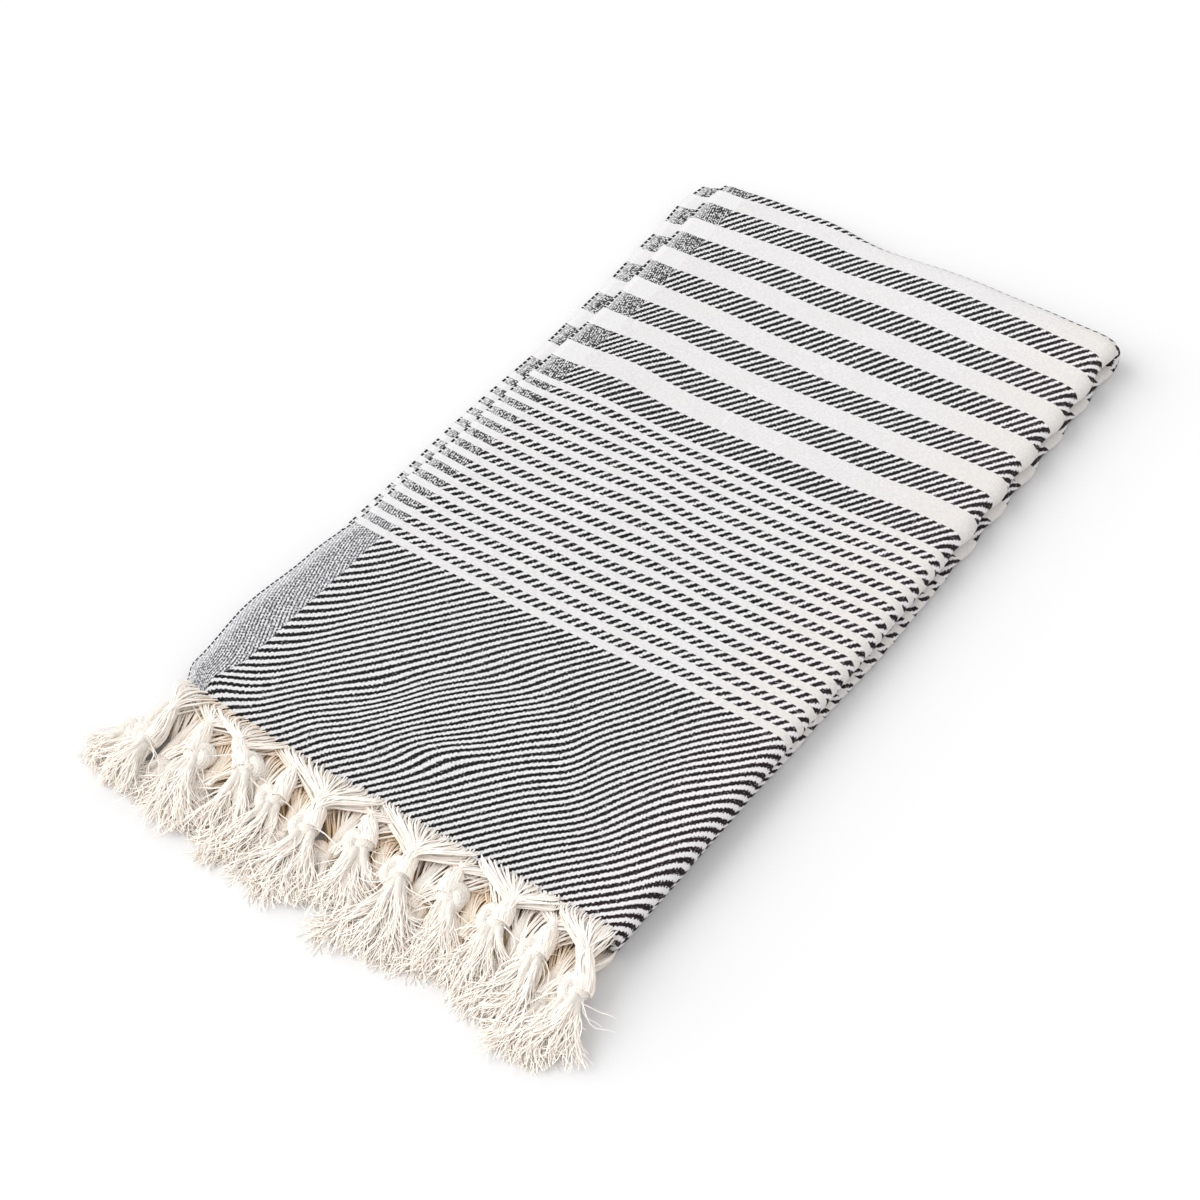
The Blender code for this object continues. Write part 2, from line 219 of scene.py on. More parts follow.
# Noise on the cloth: scales, the ranges that make grain, worn specks and shade, and how much each
# counts. Then how much the plain weave and the fuzz rise, and how flat the white lies.
FUZZ_SCALE = 1100.0
GRAIN_SCALE = 820.0
PATCH_SCALE = 60.0
GRAIN_RANGE = (0.42, 0.56)
SPECK_RANGE = (0.60, 0.74)
SPECK_LIGHT = 0.55
SHADE_RANGE = (0.30, 0.56)
SHADE_SHARE = 0.35
GRAIN_SHARE = 0.6
PLAIN_RELIEF = 0.5
FUZZ_RELIEF = 0.35
WHITE_FLATTEN = 0.5

# Colours of the cloth, and where along X its tints come in towards the side roll.
WARP_LIGHT = (0.77, 0.76, 0.764, 1.0)
WARP_PATCH = (0.72, 0.712, 0.72, 1.0)
WARP_SHADE = (0.40, 0.395, 0.41, 1.0)
WARP_PINK = (0.765, 0.735, 0.748, 1.0)
WARP_BLUE = (0.755, 0.757, 0.80, 1.0)
WHITE_LIGHT = (0.735, 0.725, 0.728, 1.0)
WHITE_PATCH = (0.69, 0.665, 0.66, 1.0)
WHITE_CREAM = (0.72, 0.672, 0.625, 1.0)
WHITE_GRAIN = (0.61, 0.602, 0.606, 1.0)
WHITE_SELVEDGE = (0.75, 0.745, 0.75, 1.0)
WEFT_BLACK = (0.006, 0.006, 0.0065, 1.0)
WEFT_BROWN = (0.019, 0.0105, 0.0135, 1.0)
TINT_START = 55 * MM
TINT_END = 122 * MM
TINT_SHARE = 0.75
SELVEDGE_SHARE = 0.4

# Distance between picks along the cloth.
PICKS = table(
    "along pitch",
    (0, 1.53),
    (122, 1.55),
    (145, 1.75),
    (300, 1.78),
    (345, 1.85),
    (380, 2.08),
    (421, 2.1),
    (453, 1.95),
)
PICK_MARKS = 500

# How far the weft lines stand away from the fringed end of where they were woven.
WEFT_DRIFT = table(
    BELL,
    (-10, 215, 110, 20, -46, 2.6),
    (-85, 315, 26, 48, 0, 3.4),
    (105, 300, 28, 75, 0, 2.4),
    (-115, 478, 78, 66, 0, -11),
    (-12, 446, 24, 40, 0, 2.4),
    (112, 468, 45, 34, 0, -3.5),
    (-90, 185, 25, 30, 0, -1.5),
    (-35, 134, 35, 12, 0, -1),
    (20, 362, 60, 16, 0, -1.5),
    (-20, 464, 150, 14, 0, -4.5),
)
SECOND_PLY_DRIFT = -6 * MM

# How far the twill's lines stand towards the fringed end, because the warp lies rippled.
WARP_DRIFT = table(
    BELL,
    (-50, 54, 20, 13, 50, 8.5),
    (2, 88, 42, 15, 12, 6.5),
    (48, 68, 24, 14, -50, 7.5),
    (-8, 40, 24, 12, 20, -10),
    (-62, 18, 22, 10, -20, -4),
    (96, 84, 26, 16, 80, -7),
    (70, 134, 30, 22, -30, -6),
    (76, 42, 24, 16, -20, 4.5),
    (120, 18, 22, 26, 0, 7),
    (-92, 132, 34, 14, 0, -3),
    (-128, 2, 26, 20, 0, -12),
    (0, 250, 60, 40, 30, 2),
)
EDGE_PULL = 45 * MM
EDGE_HOLD = 14 * MM
SPARE_START = 0.6
SPARE_REACH = 0.3

# The side roll bulges a little at each white band.
WIDE_SCALLOP = 1.3 * MM
NARROW_SCALLOP = 0.3 * MM

# Tassels, as their solids have them: the ply that each ends, the middle and half width of its
# fan of warp at the cloth's edge, its knot, the lean of its tuft towards +X and the tuft's
# length. X and Y are measured from the nominal left side and from the fringed end.
TASSELS = table(
    "ply fan_x fan_half knot_x knot_y lean length",
    ("top", 4, 9, 5, -35, -12, 27),
    ("top", 37, 19, 53, -22, 24, 38),
    ("top", 88, 25, 98, -31, 24, 34),
    ("top", 144, 23, 148, -27, 22, 38),
    ("top", 195, 19, 198, -22, 20, 38),
    ("top", 233, 12, 248, -30, 6, 32),
    ("second", 21, 10, 29, -29.5, 10, 36),
    ("second", 68, 7, 74, -28, 24, 38),
    ("second", 116, 10, 123, -24, 23, 38),
    ("second", 168, 10, 173, -23, 21, 40),
    ("second", 217, 10, 222, -24, 14, 38),
    ("third", 14, 10, 17, -37, 2, 34),
    ("third", 60, 10, 65, -38, 14, 36),
    ("third", 108, 10, 111, -36, 20, 36),
    ("third", 158, 10, 161, -35, 18, 36),
    ("third", 208, 10, 211, -36, 12, 34),
    ("bottom", -2, 8, -7, -33, -12, 32),
    ("bottom", 38, 10, 40, -38, 8, 36),
    ("bottom", 84, 10, 87, -38, 18, 36),
    ("bottom", 133, 10, 136, -37, 20, 36),
    ("bottom", 184, 10, 186, -36, 15, 36),
    ("bottom", 232, 10, 236, -38, 6, 32),
)
TOP_PLIES = ("top", "second")
OUTER_PLIES = ("top", "bottom")

# How the tassels of each ply lie: height of the knot's middle and of the tuft's tips, how late
# the tuft droops to its tips and the most that its length is trimmed by, how much wider the fan
# is than its solid, the pitch of its yarns, and how far along the rope they gather.
Level = namedtuple("Level", "knot_height tip_height droop trim widen pitch gather")
LEVELS = {
    "top": Level(11.2 * MM, 3.6 * MM, 2.0, 0.12, 1.2, 0.95 * MM, 0.78),
    "second": Level(10.0 * MM, 3.2 * MM, 1.8, 0.25, 2.3, 1.0 * MM, 0.55),
    "third": Level(4.2 * MM, 1.4 * MM, 0.9, 0.42, 2.7, 1.25 * MM, 1.2),
    "bottom": Level(4.2 * MM, 1.4 * MM, 0.9, 0.42, 2.5, 1.25 * MM, 1.2),
}

# The rope that gathers a fan and its overhand knot. Lobes are the strands of a rope's section,
# and shares are of the way from the fan to the knot.
ROPE_RADIUS = 4.1 * MM
KNOT_ROPE_RADIUS = 3.5 * MM
KNOT_LOOP = 3.0 * MM
KNOT_WEAVE = 1.8 * MM
KNOT_RISE = 1.7 * MM
KNOT_STRETCH = 1.1
KNOT_OPENING = 0.25
KNOT_SLANT = 0.5
KNOT_SHIFT = 0.35
KNOT_MOUTH = 0.5 * MM
ROPE_BEND = 0.28
LEAD_OUT = 0.35
LEAD_UP = 0.2
ENTER_BACK = 0.3
ENTER_TOWARD = 0.1
GATHER_SHARE = 0.6
GATHER_LEAST = 0.25
GATHER_GROWTH = 0.7
SQUEEZE_LEAD = 6
SQUEEZE_STEPS = 8
ROPE_SIDES = 42
ROPE_LOBES = 14
ROPE_LOBE_DEPTH = 0.2
ROPE_LAY = 120.0
ROPE_STEPS = 28
KNOT_STEPS = 52
TAIL_STEPS = 8
TAIL_START = 0.15
TAIL_LENGTH = 9 * MM
TAIL_TAPER = 0.75

# The yarns of a fan, in two layers. Their scatter along the edge is millimetres.
FAN_YARN_RADIUS = 0.43 * MM
FAN_YARN_STEPS = 15
FAN_START = 0.08
FAN_END = 0.98
FAN_SCATTER = 0.12
FAN_LATE = (0.86, 1.16)
FAN_TWIST = 1.2
FAN_BEATS = (1.0, 2.6)
FAN_ARCH = 1.4 * MM
ARCH_SHARES = (0.4, 1.3)
FAN_SLACK = 0.5 * MM
SLACK_SPREAD = 0.7
FAN_PROUD = 0.1 * MM
FAN_INSET = 3.4 * MM
UPPER_INSET = (0.35, 1.2)
LOWER_INSET = 0.2
ROUND_LIMIT = 0.97

# The locks of a tuft and their yarns. How far locks and yarns lift is millimetres.
TUFT_LOCKS = 12
LOCK_YARNS = 24
LOCK_SPREAD = 0.92
LOCK_SCATTER = 0.08
LOCK_LENGTHS = (0.85, 1.08)
YARN_LENGTHS = (0.78, 1.1)
SIDE_TRIM = 0.15
LOCK_RADIUS = 1.7 * MM
LOCK_FLARE = 1.5 * MM
CORE_RADIUS = 2.15 * MM
CORE_LENGTH = 0.85
CORE_TAPER = 0.85
CORE_SIDES = 10
CORE_LOBES = 5
TUFT_FAN = 0.42
TUFT_CURL = 0.42
LOCK_CURL = 0.65
LOCK_WAVE = 0.45
LOCK_BEATS = (0.4, 1.1)
LOCK_TURNS = (0.3, 0.8)
LOCK_LIFT = 1.6
LIFT_BEATS = (0.5, 1.2)
CURL_POWER = 1.6
MOUTH_SHARE = 0.85
YARN_CURL = 0.5
YARN_WAVE = 0.3
YARN_BEATS = (0.8, 2.2)
YARN_LIFT = 1.5
FRIZZ_POWER = 2.4
WAVE_SHARES = (0.5, 1.3)
TUFT_THICKNESS = 4.2 * MM
TUFT_TAPER = 0.4
TUFT_BREADTH = 1.25
TUFT_EDGE = 0.15
TUFT_YARN_RADIUS = 0.37 * MM
TUFT_YARN_STEPS = 11
STRAY_YARNS = 14
STRAY_SPREAD = 0.45
STRAY_CURL = 1.2
STRAY_WAVE = 0.5
STRAY_BEATS = (0.5, 1.6)
STRAY_LENGTHS = (0.6, 1.15)
STRAY_RISE = (0.2, 1.3)
RISE_BEATS = (0.4, 1.2)
STRAY_REACH = 2.5 * MM
YARN_SIDES = 3
YARN_TAPER = 0.35
YARN_RADII = (0.75, 1.15)
YARN_ROLL = math.radians(22)

# Undyed cotton of ropes and of single yarns: its name, its warm tone and its pale one. On ropes the
# warm tone also marks the grooves of the lay, as painted shade.
WARP_COTTONS = (
    ("cream_rope", (0.90, 0.80, 0.685, 1.0), (0.91, 0.875, 0.835, 1.0)),
    ("cream_yarn", (1.0, 0.89, 0.77, 1.0), (1.0, 0.975, 0.945, 1.0)),
)
TONE_SHARE = 0.4
BLOTCH_SHARE = 0.4
BLOTCH_SCALE = 140.0
FIBRE_SHARE = 0.2
FIBRE_SCALE = 1400.0
BRISTLE_SHARE = 0.6
BRISTLE_SCALE = 1800.0
LAY_ROUND = 22.0
LAY_ALONG = 450.0

# Painted shade: a warm ochre painted on the yarns low down in the fringe's gaps, where shade falls,
# and the heights, places along Y and places out from the middle where it fades.
GAP_SHADE_COLOUR = (0.92, 0.69, 0.43, 1.0)
GAP_SHADE_LOW = 5.5 * MM
GAP_SHADE_HIGH = 11.0 * MM
GAP_SHADE_FAR = -278 * MM
GAP_SHADE_NEAR = -264 * MM
GAP_SHADE_MIDDLE = 100 * MM
GAP_SHADE_SIDE = 125 * MM

# The floor, and the light: the surround's strength, and the key's strength, breadth and direction.
FLOOR_COLOUR = (0.81, 0.81, 0.815, 1.0)
SURROUND = 0.85
KEY_STRENGTH = 2.02
KEY_BREADTH = math.radians(60)
KEY_FROM = (-0.68, -0.50, 0.66)

# The camera's place and aim, and the lens for a frame 36 mm wide.
CAMERA_PLACE = (0.4398, -0.6916, 0.8635)
CAMERA_AZIMUTH = math.radians(-35.55)
CAMERA_ELEVATION = math.radians(48.47)
SENSOR_WIDTH = 36.0
FOCAL_PIXELS = 2312.0
PHOTO_PIXELS = 1200.0


def ease(value):
    """Smooth step: 3 v squared minus 2 v cubed, with v held between 0 and 1."""
    value = np.clip(value, 0.0, 1.0)
    return value * value * (3.0 - 2.0 * value)


def eased(rows, column, at):
    """Column of a table at given places, which its first column holds: the first value plus an
    eased step for each next row."""
    marks = [row[0] for row in rows]
    values = [getattr(row, column) for row in rows]
    result = np.full_like(at, values[0])
    for low, high, start, end in zip(marks, marks[1:], values, values[1:]):
        result = result + (end - start) * ease((at - low) / (high - low))
    return result


def bells(rows, x, along):
    """Sum of bells: size times e to minus the squared distance in half lengths."""
    total = np.zeros(np.broadcast(x, along).shape)
    for row in rows:
        dx = x - row.x
        dy = along - row.along
        lengthwise = dx * math.cos(row.turn) + dy * math.sin(row.turn)
        sideways = dy * math.cos(row.turn) - dx * math.sin(row.turn)
        reach = (lengthwise / row.half_length) ** 2 + (sideways / row.half_width) ** 2
        total = total + row.size * np.exp(-reach)
    return total


def bowed(x, along):
    """Shift along Y: the far bow minus the near bow, each fading over its reach."""
    across = x + FOLDED_WIDTH / 2
    near = eased(BOWS, "near", across) * ease(1.0 - along / BOW_REACH)
    far = eased(BOWS, "far", across) * ease(1.0 - (FOLDED_LENGTH - along) / BOW_REACH)
    return far - near


def ply_spacing(x, y):
    """Distance between a pair's plies: flat spacing plus a power of the way to the roll."""
    across = np.clip((x + FOLDED_WIDTH / 2) / FOLDED_WIDTH, 0.0, 1.0)
    growth = (ROLL_SPACING - FLAT_SPACING) * across ** SPACING_POWER
    return FLAT_SPACING + growth + bells(RIDGES, x, y + FOLDED_LENGTH / 2)


def pair_spacing(y):
    """Distance between the pairs: flat spacing plus an eased swell up to the far fold."""
    from_fold = (FOLDED_LENGTH / 2 - y) / FAR_FOLD_SWELL_LENGTH
    return FLAT_SPACING + FAR_FOLD_SWELL * ease(1.0 - from_fold)


def side_lines(along, outer, upper):
    """X of the selvedge and of the roll's middle, blended by how far outer and upper a ply is."""
    stand_out = [eased(STATIONS, column, along) for column in STATIONS[0]._fields[1:]]
    top, second, third, bottom, upper_roll, lower_roll = stand_out
    top_pair = top * outer + second * (1 - outer)
    low_pair = bottom * outer + third * (1 - outer)
    selvedge = -FOLDED_WIDTH / 2 - top_pair * upper - low_pair * (1 - upper)
    roll = FOLDED_WIDTH / 2 - ROLL_REACH + upper_roll * upper + lower_roll * (1 - upper)
    return selvedge, roll


def scallop(along):
    """Bulge of the side roll: a cosine over each stripe's pitch, highest on the whites."""
    wide = np.cos(FULL_TURN * ((along - WIDE_START) / WIDE_PITCH - WIDE_WHITE / 2))
    narrow = np.cos(FULL_TURN * ((along - NARROW_START) / NARROW_PITCH - NARROW_WHITE / 2))
    in_narrow = ease((along - NARROW_START) / NARROW_PITCH)
    in_wide = ease((along - NARROW_END) / NARROW_PITCH)
    return NARROW_SCALLOP * narrow * in_narrow * (1 - in_wide) + WIDE_SCALLOP * wide * in_wide


def cloth_point(across, roll, along, turn):
    """Points of the cloth's middle surface: a straight run across to a half circle at the roll,
    carried on a straight run along to a half circle at the far fold.

    across runs from the selvedge (0) to the side roll (1), roll is the angle round that roll,
    along the distance from the fringed end and turn the angle round the far fold.
    """
    outer = (1 + np.sin(roll)) / 2
    upper = (1 + np.sin(turn)) / 2
    left, right = side_lines(along, outer, upper)
    reach = ROLL_REACH + scallop(along)
    x = left + (right - left) * across + reach * np.cos(roll)
    run = along - FOLDED_LENGTH / 2 + bowed(x, along)
    spacing = ply_spacing(x, run)
    between = pair_spacing(run)
    radius = (spacing + between) / 2 + spacing / 2 * np.sin(roll)
    y = run + radius * np.cos(turn)
    middle = CLOTH_THICKNESS / 2 + spacing + between / 2
    z = middle + radius * np.sin(turn) + outer * upper * bells(PUCKERS, x, along)
    return x, y, z


def fold_parameters(steps_out, steps_turn):
    """Fraction and angle at each step of a run out, a half turn and the run back."""
    out = np.linspace(0.0, 1.0, steps_out + 1)
    fraction = np.concatenate([out, np.ones(steps_turn - 1), out[::-1]])
    angles = np.linspace(QUARTER_TURN, -QUARTER_TURN, steps_turn + 1)[1:-1]
    flat = np.full(steps_out + 1, QUARTER_TURN)
    return fraction, np.concatenate([flat, angles, -flat])


def picks_at(along):
    """Number of picks up to a place: the sum of one over their pitch."""
    marks = np.linspace(0.0, HALF_LENGTH, PICK_MARKS)
    pitch = np.interp(marks, *zip(*PICKS))
    counts = np.concatenate([[0.0], np.cumsum(np.diff(marks) / pitch[1:])])
    return np.interp(along, marks, counts)


def woven_place(x, z, along, roll, turn):
    """Place of each grid point on the flat cloth: distance from the first selvedge, distance
    from the first fringed end, and the same two counted in warp ends and picks.

    The width is the length walked across the folds, pulled to the drifted warp lines, which
    are held at the selvedges. The length is the distance along less the drift of the weft, or
    what is left of the whole on the lower pair, and runs evenly between them round the far
    fold. The pick count mirrors about the middle of the towel.
    """
    outer = (1 + np.sin(roll)) / 2
    step = np.hypot(np.diff(x, axis=1), np.diff(z, axis=1))
    walked = np.concatenate([np.zeros((x.shape[0], 1)), np.cumsum(step, axis=1)], axis=1)
    whole = float(walked[:, -1].mean())
    left = x[:, :1]
    middle_left = float(left.mean())
    pull = (left - middle_left) * (1 - ease((x - left) / EDGE_PULL))
    from_left = x - middle_left - pull
    beyond = walked - walked[:, PLY_STEPS:PLY_STEPS + 1]
    at_roll = from_left[:, PLY_STEPS:PLY_STEPS + 1]
    spare = whole - at_roll - beyond[:, -1:]
    shortfall = spare * ease((walked / whole - SPARE_START) / SPARE_REACH)
    width = np.where(beyond <= 0, from_left, at_roll + beyond + shortfall)
    turned = (QUARTER_TURN - turn) / np.pi
    drifted = along - bells(WEFT_DRIFT, x, along) - SECOND_PLY_DRIFT * (1 - outer)
    on_turn = drifted + (FLAT_LENGTH - 2 * drifted) * turned
    straight = np.where(turn > 0, drifted, FLAT_LENGTH - drifted)
    length = np.where(np.abs(turn) < QUARTER_TURN, on_turn, straight)
    design = np.minimum(length, FLAT_LENGTH - length)
    picks = picks_at(design)
    picks = np.where(length > HALF_LENGTH, 2 * picks_at(HALF_LENGTH) - picks, picks)
    hold = ease(np.minimum(width, whole - width) / EDGE_HOLD)
    warp_shift = bells(WARP_DRIFT, x, along) / TWILL_RISE * hold
    ends = (width - warp_shift) / END_PITCH
    return width - warp_shift, length, ends, picks, whole


def build_mesh(name, points, faces, uvs, slots):
    """A mesh from whole arrays: points, a list of face arrays, for each named UV map a list of
    arrays that match the faces, and the faces' material slots, of which the first is smooth."""
    mesh = bpy.data.meshes.new(name)
    loops = np.concatenate([face.ravel() for face in faces])
    totals = np.concatenate([np.full(len(face), face.shape[1]) for face in faces])
    starts = np.concatenate([[0], np.cumsum(totals)[:-1]])
    mesh.vertices.add(len(points))
    mesh.vertices.foreach_set("co", np.asarray(points, np.float32).ravel())
    mesh.loops.add(len(loops))
    mesh.polygons.add(len(totals))
    mesh.polygons.foreach_set("loop_start", starts.astype(np.int32))
    mesh.polygons.foreach_set("vertices", loops.astype(np.int32))
    mesh.polygons.foreach_set("material_index", slots.astype(np.int32))
    mesh.polygons.foreach_set("use_smooth", slots == 0)
    mesh.update(calc_edges=True)
    for label, corners in uvs.items():
        layer = mesh.uv_layers.new(name=label)
        flat = np.concatenate([corner.reshape(-1, 2) for corner in corners])
        layer.data.foreach_set("uv", flat.astype(np.float32).ravel())
    mesh.validate()
    return mesh


def new_object(name, data):
    """An object put in the scene."""
    made = bpy.data.objects.new(name, data)
    bpy.context.scene.collection.objects.link(made)
    return made


def add_piece(name, mesh, materials, stands_for):
    """Put a mesh in the scene as a piece that rides on the towel and stands for its solid."""
    piece = new_object(name, mesh)
    for material in materials:
        mesh.materials.append(material)
    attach(piece, "root")
    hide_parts(stands_for)
    return piece


def grid_quads(rows, columns):
    """Corner numbers of the quads of a grid, wound so that the rows' side faces up."""
    number = np.arange(rows * columns).reshape(rows, columns)
    corners = [number[:-1, :-1], number[:-1, 1:], number[1:, 1:], number[1:, :-1]]
    return np.stack(corners, axis=-1).reshape(-1, 4)


def build_cloth():
    """The towel's sheet: a grid over the flat cloth moved onto its folds, then thickened. It is
    returned with the width it was cut to."""
    across, roll = [row[None, :] for row in fold_parameters(PLY_STEPS, ROLL_STEPS)]
    fraction, turn = [row[:, None] for row in fold_parameters(RUN_STEPS, TURN_STEPS)]
    along = fraction * (FOLDED_LENGTH - FAR_FOLD_DEPTH)
    x, y, z = cloth_point(across, roll, along, turn)
    width, length, ends, picks, whole = woven_place(x, z, along, roll, turn)
    points = np.stack([x, y, z], axis=-1).reshape(-1, 3)
    quads = grid_quads(*x.shape)
    place = np.stack([width, length], axis=-1).reshape(-1, 2)
    threads = np.stack([ends, picks], axis=-1).reshape(-1, 2) * THREAD_UNIT
    uvs = {"place": [place[quads]], "threads": [threads[quads]]}
    mesh = build_mesh("cloth_sheet", points, [quads], uvs, np.zeros(len(quads)))
    cloth = add_piece("cloth_sheet", mesh, [], "cloth")
    wall = cloth.modifiers.new("thickness", "SOLIDIFY")
    wall.thickness = CLOTH_THICKNESS
    wall.offset = 0.0
    return cloth, whole


def unit(vectors):
    """Vectors divided by their lengths."""
    return vectors / np.maximum(np.linalg.norm(vectors, axis=-1, keepdims=True), 1e-12)


def path_axes(paths):
    """Side and up of each path: side is the tangent across the vertical, up is across both."""
    tangent = unit(np.gradient(paths, axis=-2))
    side = unit(np.cross(tangent, (0.0, 0.0, 1.0)))
    return side, np.cross(side, tangent)


def tube_faces(here, there):
    """What lies at the corners of the quads between rings and of both caps, from what lies at
    each place of the rings and at the next place round."""
    quads = np.stack([here[:, :-1], here[:, 1:], there[:, 1:], there[:, :-1]], axis=3)
    return [quads.reshape(-1, 4, *here.shape[3:]), np.concatenate([here[:, 0], here[:, -1, ::-1]])]


def tubes(paths, radii, sides, tones, rolls=0.0, lobes=0):
    """Rings of a radius carried along each path and closed by a cap at both ends.

    A ring's point lies at side times the cosine plus up times the sine of its angle, times the
    radius, which dips between round lobes that wind along the tube: 1 less the lobes' depth times
    1 less the cosine of half the lobes' angle without its sign. The first UV number is the tube's
    tone, or the way round where it has lobes, and the second is the length walked.
    """
    count, steps = paths.shape[:2]
    side, up = path_axes(paths)
    angle = np.arange(sides) * FULL_TURN / sides
    rolled = (angle + np.broadcast_to(rolls, count)[:, None])[:, None, :, None]
    walked = np.zeros((count, steps, 1))
    walked[:, 1:, 0] = np.cumsum(np.linalg.norm(np.diff(paths, axis=1), axis=-1), axis=1)
    reach = np.broadcast_to(radii[:, :, None], (count, steps, sides))
    if lobes:
        lay = angle - ROPE_LAY * walked
        reach = reach * (1 - ROPE_LOBE_DEPTH * (1 - np.abs(np.cos(lobes / 2 * lay))))
    ring = side[:, :, None] * np.cos(rolled) + up[:, :, None] * np.sin(rolled)
    points = (paths[:, :, None] + reach[..., None] * ring).reshape(-1, 3)
    number = np.arange(count * steps * sides).reshape(count, steps, sides)
    way = angle / FULL_TURN if lobes else tones[:, None, None]
    next_way = way + 1 / sides if lobes else way
    here, there = [
        np.stack(np.broadcast_arrays(place, walked, number)[:2], axis=-1)
        for place in (way, next_way)
    ]
    return points, tube_faces(number, np.roll(number, -1, axis=2)), tube_faces(here, there)


def ply_side(ply):
    """How far outer and how far upper a ply is, each 0 or 1."""
    return float(ply in OUTER_PLIES), float(ply in TOP_PLIES)


def selvedge_end(ply):
    """X at which a ply's selvedge meets the fringed end."""
    return float(side_lines(np.zeros(1), *ply_side(ply))[0][0])


def edge_points(ply, x):
    """Middle of a ply's fringed edge at given X, which follows the roll round where X passes it."""
    outer, upper = ply_side(ply)
    start = np.zeros_like(x)
    left, right = side_lines(start, outer, upper)
    across = np.minimum((x - left) / (right - left), 1.0)
    round_roll = np.arccos(np.clip((x - right) / ROLL_REACH, 0.0, ROUND_LIMIT))
    turn = np.full_like(x, QUARTER_TURN * (2 * upper - 1))
    found = cloth_point(across, round_roll * (2 * outer - 1), start, turn)
    return np.stack(found, axis=-1)


def curve_through(first, second, third, fourth, steps):
    """Cubic curve pulled by four points."""
    t = np.linspace(0.0, 1.0, steps)[:, None]
    near = (1 - t) ** 3 * first + 3 * (1 - t) ** 2 * t * second
    return near + 3 * (1 - t) * t * t * third + t ** 3 * fourth


def knot_path(knot, axis, side, hand):
    """Overhand knot: a three-lobed curve that winds twice round a ring and weaves three times up
    and down through it, left open where the rope enters and leaves along the axis."""
    t = np.linspace(KNOT_OPENING, FULL_TURN - KNOT_OPENING, KNOT_STEPS)
    ring = KNOT_LOOP + KNOT_WEAVE * np.cos(3 * t)
    out = hand * (ring * np.cos(2 * t) - (KNOT_LOOP + KNOT_WEAVE) * KNOT_SHIFT)
    ahead = KNOT_STRETCH * ring * np.sin(2 * t)
    rise = KNOT_RISE * np.sin(3 * t)
    upright = np.array((0.0, 0.0, 1.0))
    return knot + side * out[:, None] + axis * ahead[:, None] + upright * rise[:, None]


def smoothed(path, passes):
    """Path whose inner points move to the mean of their neighbours and themselves."""
    for _ in range(passes):
        inner = (path[:-2] + path[1:-1] * 2 + path[2:]) / 4
        path = np.concatenate([path[:1], inner, path[-1:]])
    return path


def build_fan(tassel, rope, chance):
    """Yarns from the cloth's edge onto the rope.

    Each yarn follows the rope's line, offset by its place along the edge, which fades with an
    eased step into its angle round the rope. A half sine lifts it over its first stretch.
    """
    level = LEVELS[tassel.ply]
    half = tassel.fan_half * level.widen
    middle = tassel.fan_x - FOLDED_WIDTH / 2
    low = max(middle - half, selvedge_end(tassel.ply))
    width = middle + half - low
    count = int(width / level.pitch)
    each = (count, 1)
    share = (np.arange(count) + 0.5) / count
    way = np.linspace(0.0, 1.0, FAN_YARN_STEPS)
    marks = np.linspace(0.0, 1.0, len(rope))
    line = np.stack([np.interp(way * FAN_END, marks, row) for row in rope.T], axis=-1)
    side, up = path_axes(line)
    paths = []
    for layer in (1, -1):
        placed = share + (0.5 - 0.5 * layer) * 0.5 / count
        x = low + width * placed + chance.normal(0.0, FAN_SCATTER, count) * MM
        start = edge_points(tassel.ply, x)
        start[:, 1] += FAN_INSET * (chance.uniform(*UPPER_INSET, count) if layer > 0 else LOWER_INSET)
        start[:, 2] += layer * (CLOTH_THICKNESS / 2 + FAN_PROUD)
        offset = start - rope[0]
        late = chance.uniform(*FAN_LATE, each)
        gather = ease(((way - FAN_START) / (level.gather - FAN_START))[None, :] * late)
        angle = layer * np.pi * (1 - placed)[:, None] + FAN_TWIST * way[None, :]
        around = (np.cos(angle)[..., None] * side + np.sin(angle)[..., None] * up) * ROPE_RADIUS
        path = line[None] + offset[:, None] * (1 - gather)[..., None] + around * gather[..., None]
        swell = np.sin(np.pi * np.clip(way / level.gather, 0.0, 1.0))[None, :]
        beat = chance.uniform(*FAN_BEATS, each)
        phase = chance.uniform(0.0, FULL_TURN, each)
        wave = np.sin(FULL_TURN * beat * way + phase) * ease(way * 4.0)
        path[..., 2] += FAN_ARCH * swell * chance.uniform(*ARCH_SHARES, each) * layer
        path[..., 2] += FAN_SLACK * chance.normal(0.0, SLACK_SPREAD, each) * wave
        path[..., 0] += FAN_SLACK * chance.normal(0.0, SLACK_SPREAD, each) * wave
        path[..., 2] = np.maximum(path[..., 2], FAN_YARN_RADIUS)
        paths.append(path)
    return np.concatenate(paths)


def waves(chance, shape, way, reach, beats):
    """Sine over the way with a drawn number of beats and phase, scaled by a drawn reach."""
    beat = chance.uniform(*beats, shape)
    phase = chance.uniform(0.0, FULL_TURN, shape)
    return reach * chance.uniform(*WAVE_SHARES, shape) * np.sin(FULL_TURN * beat * way + phase)


def walked_line(bend, length):
    """Way ahead and aside along a line whose heading is the bend: running sums of its cosine and
    sine times the length of a step."""
    step = length / (bend.shape[-1] - 1)
    ahead = np.cumsum(np.cos(bend) * step, axis=-1)
    aside = np.cumsum(np.sin(bend) * step, axis=-1)
    return ahead - ahead[..., :1], aside - aside[..., :1]


